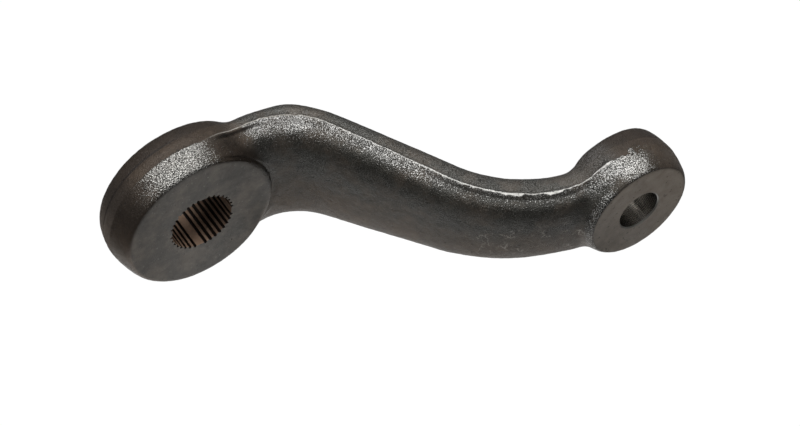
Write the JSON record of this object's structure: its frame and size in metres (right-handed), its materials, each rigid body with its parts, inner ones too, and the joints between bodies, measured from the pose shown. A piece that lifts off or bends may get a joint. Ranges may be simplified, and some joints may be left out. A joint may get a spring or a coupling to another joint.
{
  "type": "pitman arm",
  "caption": "Forged drop pitman arm: a splined eye clamps on a steering gear shaft, an S-bent tapering arm runs to an offset eye with a tapered hole for a linkage stud.",
  "frame": {"origin": "centre of the splined eye's front face, on the spline's axis", "axes": "+Y along the spline's axis towards the steering gear, +X from the splined eye towards the stud eye, +Z across the arm's width"},
  "size_m": [0.2317, 0.1234, 0.0794],
  "materials": {
    "forged_steel": "dark forging scale, faces coined smooth"
  },
  "bodies": {
    "root": {"pitman_arm": "forged_steel"}
  },
  "joints": []
}
